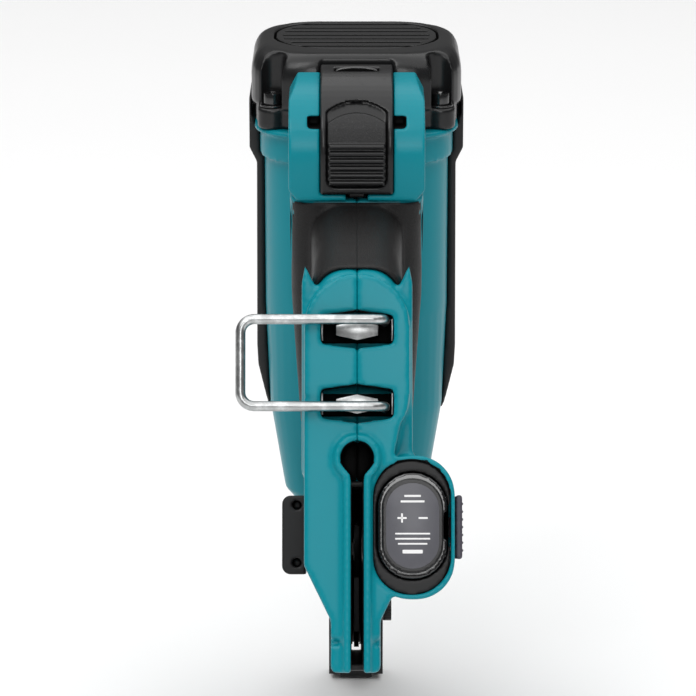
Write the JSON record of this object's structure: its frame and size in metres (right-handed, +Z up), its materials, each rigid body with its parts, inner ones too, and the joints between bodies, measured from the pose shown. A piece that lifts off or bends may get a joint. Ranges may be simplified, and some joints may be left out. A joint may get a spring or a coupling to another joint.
{
  "type": "brad nailer",
  "caption": "Cordless gas brad nailer with angled magazine, stick battery, fuel cell bay, nose contact, trigger and wire belt hook.",
  "frame": {"origin": "centre of the nose contact face on the drive axis", "axes": "+Z up the drive axis, -Y rearward to the handle and magazine, +X the battery side"},
  "size_m": [0.1046, 0.2808, 0.328],
  "materials": {
    "housing_shell": "satin moulded",
    "black_plastic": "fine texture",
    "gloss_black": "semi gloss",
    "soft_grip": "leather grain",
    "rubber_parts": "matt",
    "steel_parts": "machined",
    "zinc_wire": "zinc plated",
    "alloy": "cast and machined",
    "filter_foam": "open foam",
    "electronics": "solder mask",
    "grey_plastic": "fine texture",
    "contact_brass": "bright",
    "can_paint": "gloss",
    "ceramic": "glazed"
  },
  "bodies": {
    "tool": {"housing_left": "housing_shell", "housing_right": "housing_shell", "head_cap": "black_plastic", "filter_grille": "black_plastic", "air_filter": "filter_foam", "cap_screws": "steel_parts", "side_guard_left": "black_plastic", "side_guard_right": "black_plastic", "bay_frame": "housing_shell", "grip_cover": "soft_grip", "cylinder_head": "alloy", "head_seal": "rubber_parts", "spark_plug": "ceramic", "fan_motor": "grey_plastic", "cylinder_liner": "alloy", "bumper": "rubber_parts", "driver_guide": "steel_parts", "nose_plate": "steel_parts", "nose_screws": "steel_parts", "magazine_body": "black_plastic", "magazine_rails": "steel_parts", "nail_strip": "zinc_wire", "battery_terminals": "contact_brass", "circuit_board": "electronics", "trigger_switch": "grey_plastic", "trigger_pin": "steel_parts", "fuel_cell": "can_paint", "fuel_valve": "grey_plastic", "battery_guide": "black_plastic", "hook_bracket": "steel_parts", "housing_screws": "steel_parts", "door_hinge_pin": "steel_parts", "trigger_spring": "steel_parts", "contact_springs": "steel_parts", "button_spring": "steel_parts"},
    "trigger": {"trigger": "gloss_black"},
    "nose_contact": {"contact_foot": "black_plastic", "nose_tip": "rubber_parts", "contact_linkage": "steel_parts", "chamber_sleeve": "alloy"},
    "dial": {"depth_dial": "gloss_black"},
    "driver": {"piston": "alloy", "driver_blade": "steel_parts", "piston_ring": "steel_parts"},
    "fan_rotor": {"fan": "black_plastic"},
    "pusher": {"pusher": "steel_parts", "pusher_knob": "black_plastic", "pusher_spring": "steel_parts"},
    "door": {"fuel_door": "gloss_black", "door_latch_spring": "steel_parts"},
    "latch": {"door_latch": "black_plastic"},
    "battery": {"battery_case": "gloss_black", "battery_cap": "grey_plastic"},
    "button": {"release_button": "grey_plastic"},
    "hook": {"belt_hook": "zinc_wire"}
  },
  "joints": [
    {"name": "trigger_pull", "type": "hinge", "parent": "tool", "child": "trigger", "pos_m": [0, -0.084, 0.226], "axis": [-1, 0, 0], "range_deg": [0, 8], "stiffness_Nm_per_rad": 0.8, "springref_deg": -14.32, "deforming": ["trigger_spring"]},
    {"name": "contact_slide", "type": "slide", "parent": "tool", "child": "nose_contact", "axis": [0, 0, 1], "range_m": [0, 0.01], "stiffness_N_per_m": 900, "springref_m": -0.015, "deforming": ["contact_springs"]},
    {"name": "depth_dial_turn", "type": "hinge", "parent": "nose_contact", "child": "dial", "pos_m": [0.0153, 0, 0.0345], "axis": [1, 0, 0], "continuous": true},
    {"name": "driver_slide", "type": "slide", "parent": "tool", "child": "driver", "axis": [0, 0, -1], "range_m": [0, 0.075]},
    {"name": "fan_spin", "type": "hinge", "parent": "tool", "child": "fan_rotor", "pos_m": [0, 0, 0.285], "axis": [0, 0, 1], "continuous": true},
    {"name": "pusher_slide", "type": "slide", "parent": "tool", "child": "pusher", "axis": [0, -0.9397, 0.342], "range_m": [0, 0.055], "stiffness_N_per_m": 60, "springref_m": -0.13},
    {"name": "fuel_door_hinge", "type": "hinge", "parent": "tool", "child": "door", "pos_m": [0, -0.05, 0.3182], "axis": [-1, 0, 0], "range_deg": [0, 85]},
    {"name": "door_latch_slide", "type": "slide", "parent": "door", "child": "latch", "axis": [0, 0, 1], "range_m": [0, 0.004], "stiffness_N_per_m": 200, "springref_m": -0.01, "deforming": ["door_latch_spring"]},
    {"name": "battery_slide", "type": "slide", "parent": "tool", "child": "battery", "axis": [0, -0.9397, 0.342], "range_m": [0, 0.085]},
    {"name": "release_press", "type": "slide", "parent": "tool", "child": "button", "axis": [-1, 0, 0], "range_m": [0, 0.002], "stiffness_N_per_m": 400, "springref_m": -0.004, "deforming": ["button_spring"]},
    {"name": "hook_pull", "type": "slide", "parent": "tool", "child": "hook", "axis": [0, -0.9397, 0.342], "range_m": [0, 0.018]}
  ]
}
